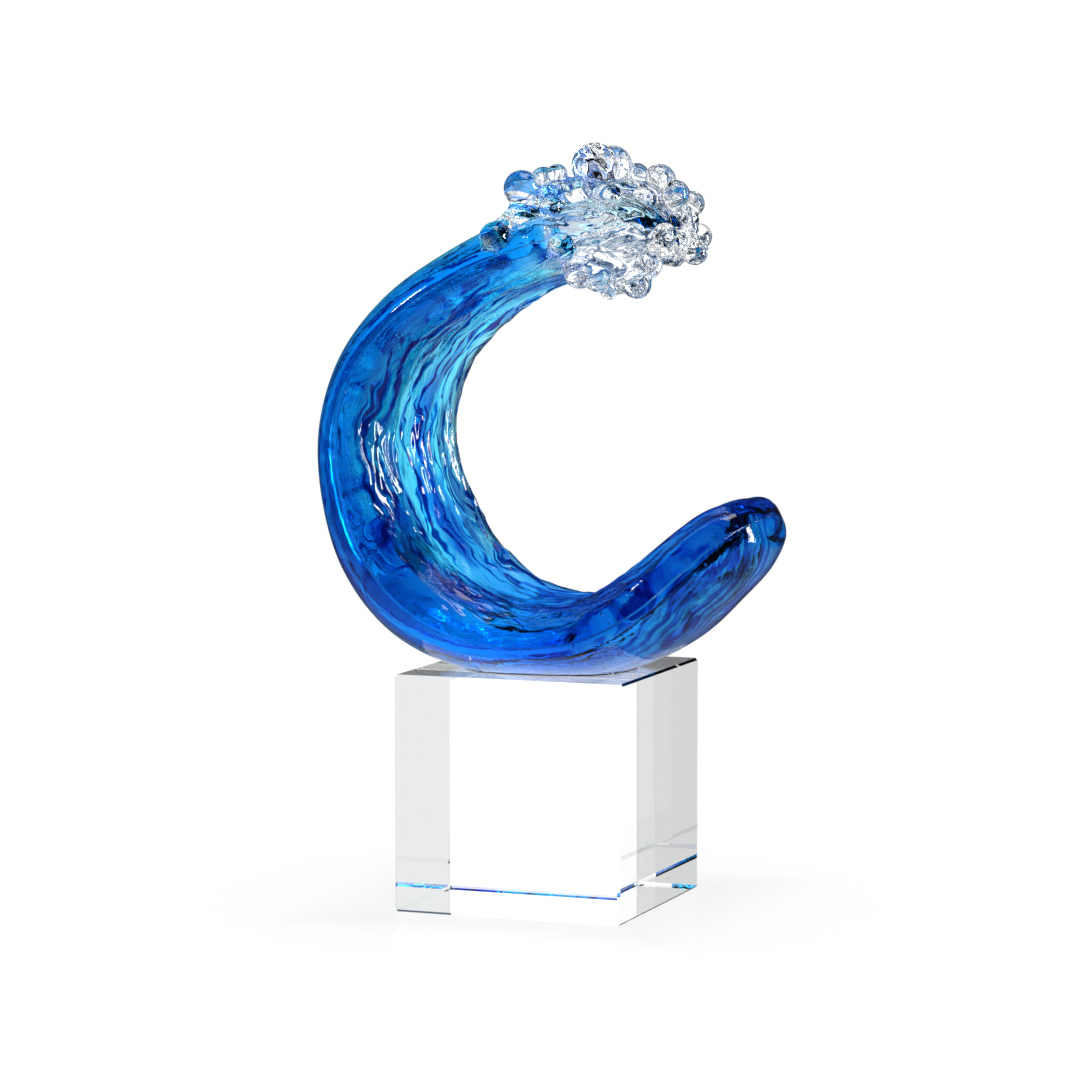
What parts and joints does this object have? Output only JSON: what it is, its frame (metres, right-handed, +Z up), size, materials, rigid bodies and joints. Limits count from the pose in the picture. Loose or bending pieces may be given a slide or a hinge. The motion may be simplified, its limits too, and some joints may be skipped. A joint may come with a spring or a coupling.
{
  "type": "glass wave sculpture",
  "caption": "Solid art glass wave curling over itself, cobalt inside a clear casing with a clear foam crest, glued on a clear crystal block.",
  "frame": {"origin": "centre of the crystal block's underside, on the surface that it stands on", "axes": "+Z up; +X the way the wave's tail points and its crest hangs; +Y across the wave's width, away from the side with the open foam lip; the block's sides lie along X and Y"},
  "size_m": [0.1568, 0.0931, 0.2567],
  "materials": {
    "crystal": "polished flat, clear",
    "clear_glass": "fire polished, clear",
    "cobalt_glass": "deep cobalt blue",
    "turquoise_glass": "turquoise",
    "glue": "clear cured glue"
  },
  "bodies": {
    "root": {"cobalt_core": "cobalt_glass", "crest_arm_back": "clear_glass", "crest_arm_brow": "clear_glass", "crest_arm_lip": "clear_glass", "crest_arm_ridge": "clear_glass", "crystal_block": "crystal", "foam_drop_01_ridge": "clear_glass", "foam_drop_02_ridge": "clear_glass", "foam_drop_03_ridge": "clear_glass", "foam_drop_04_ridge": "clear_glass", "foam_drop_05_ridge": "clear_glass", "foam_drop_06_ridge": "clear_glass", "foam_drop_07_ridge": "clear_glass", "foam_drop_08_ridge": "clear_glass", "foam_drop_09_ridge": "clear_glass", "foam_drop_10_ridge": "clear_glass", "foam_drop_11_ridge": "clear_glass", "foam_drop_12_ridge": "clear_glass", "foam_drop_13_ridge": "clear_glass", "foam_drop_14_brow": "clear_glass", "foam_drop_15_brow": "clear_glass", "foam_drop_16_lip": "clear_glass", "foam_drop_17_lip": "clear_glass", "foam_drop_18_lip": "clear_glass", "foam_drop_19_lip": "clear_glass", "foam_drop_20_lip": "clear_glass", "foam_drop_21_lip": "clear_glass", "foam_drop_22_back": "clear_glass", "foam_drop_23_back": "clear_glass", "foam_drop_24_back": "clear_glass", "foam_drop_25_back": "clear_glass", "foam_drop_26_back": "clear_glass", "foam_drop_27_brow": "clear_glass", "glue_film": "glue", "turquoise_veil": "turquoise_glass", "wave_casing": "clear_glass"}
  },
  "joints": []
}
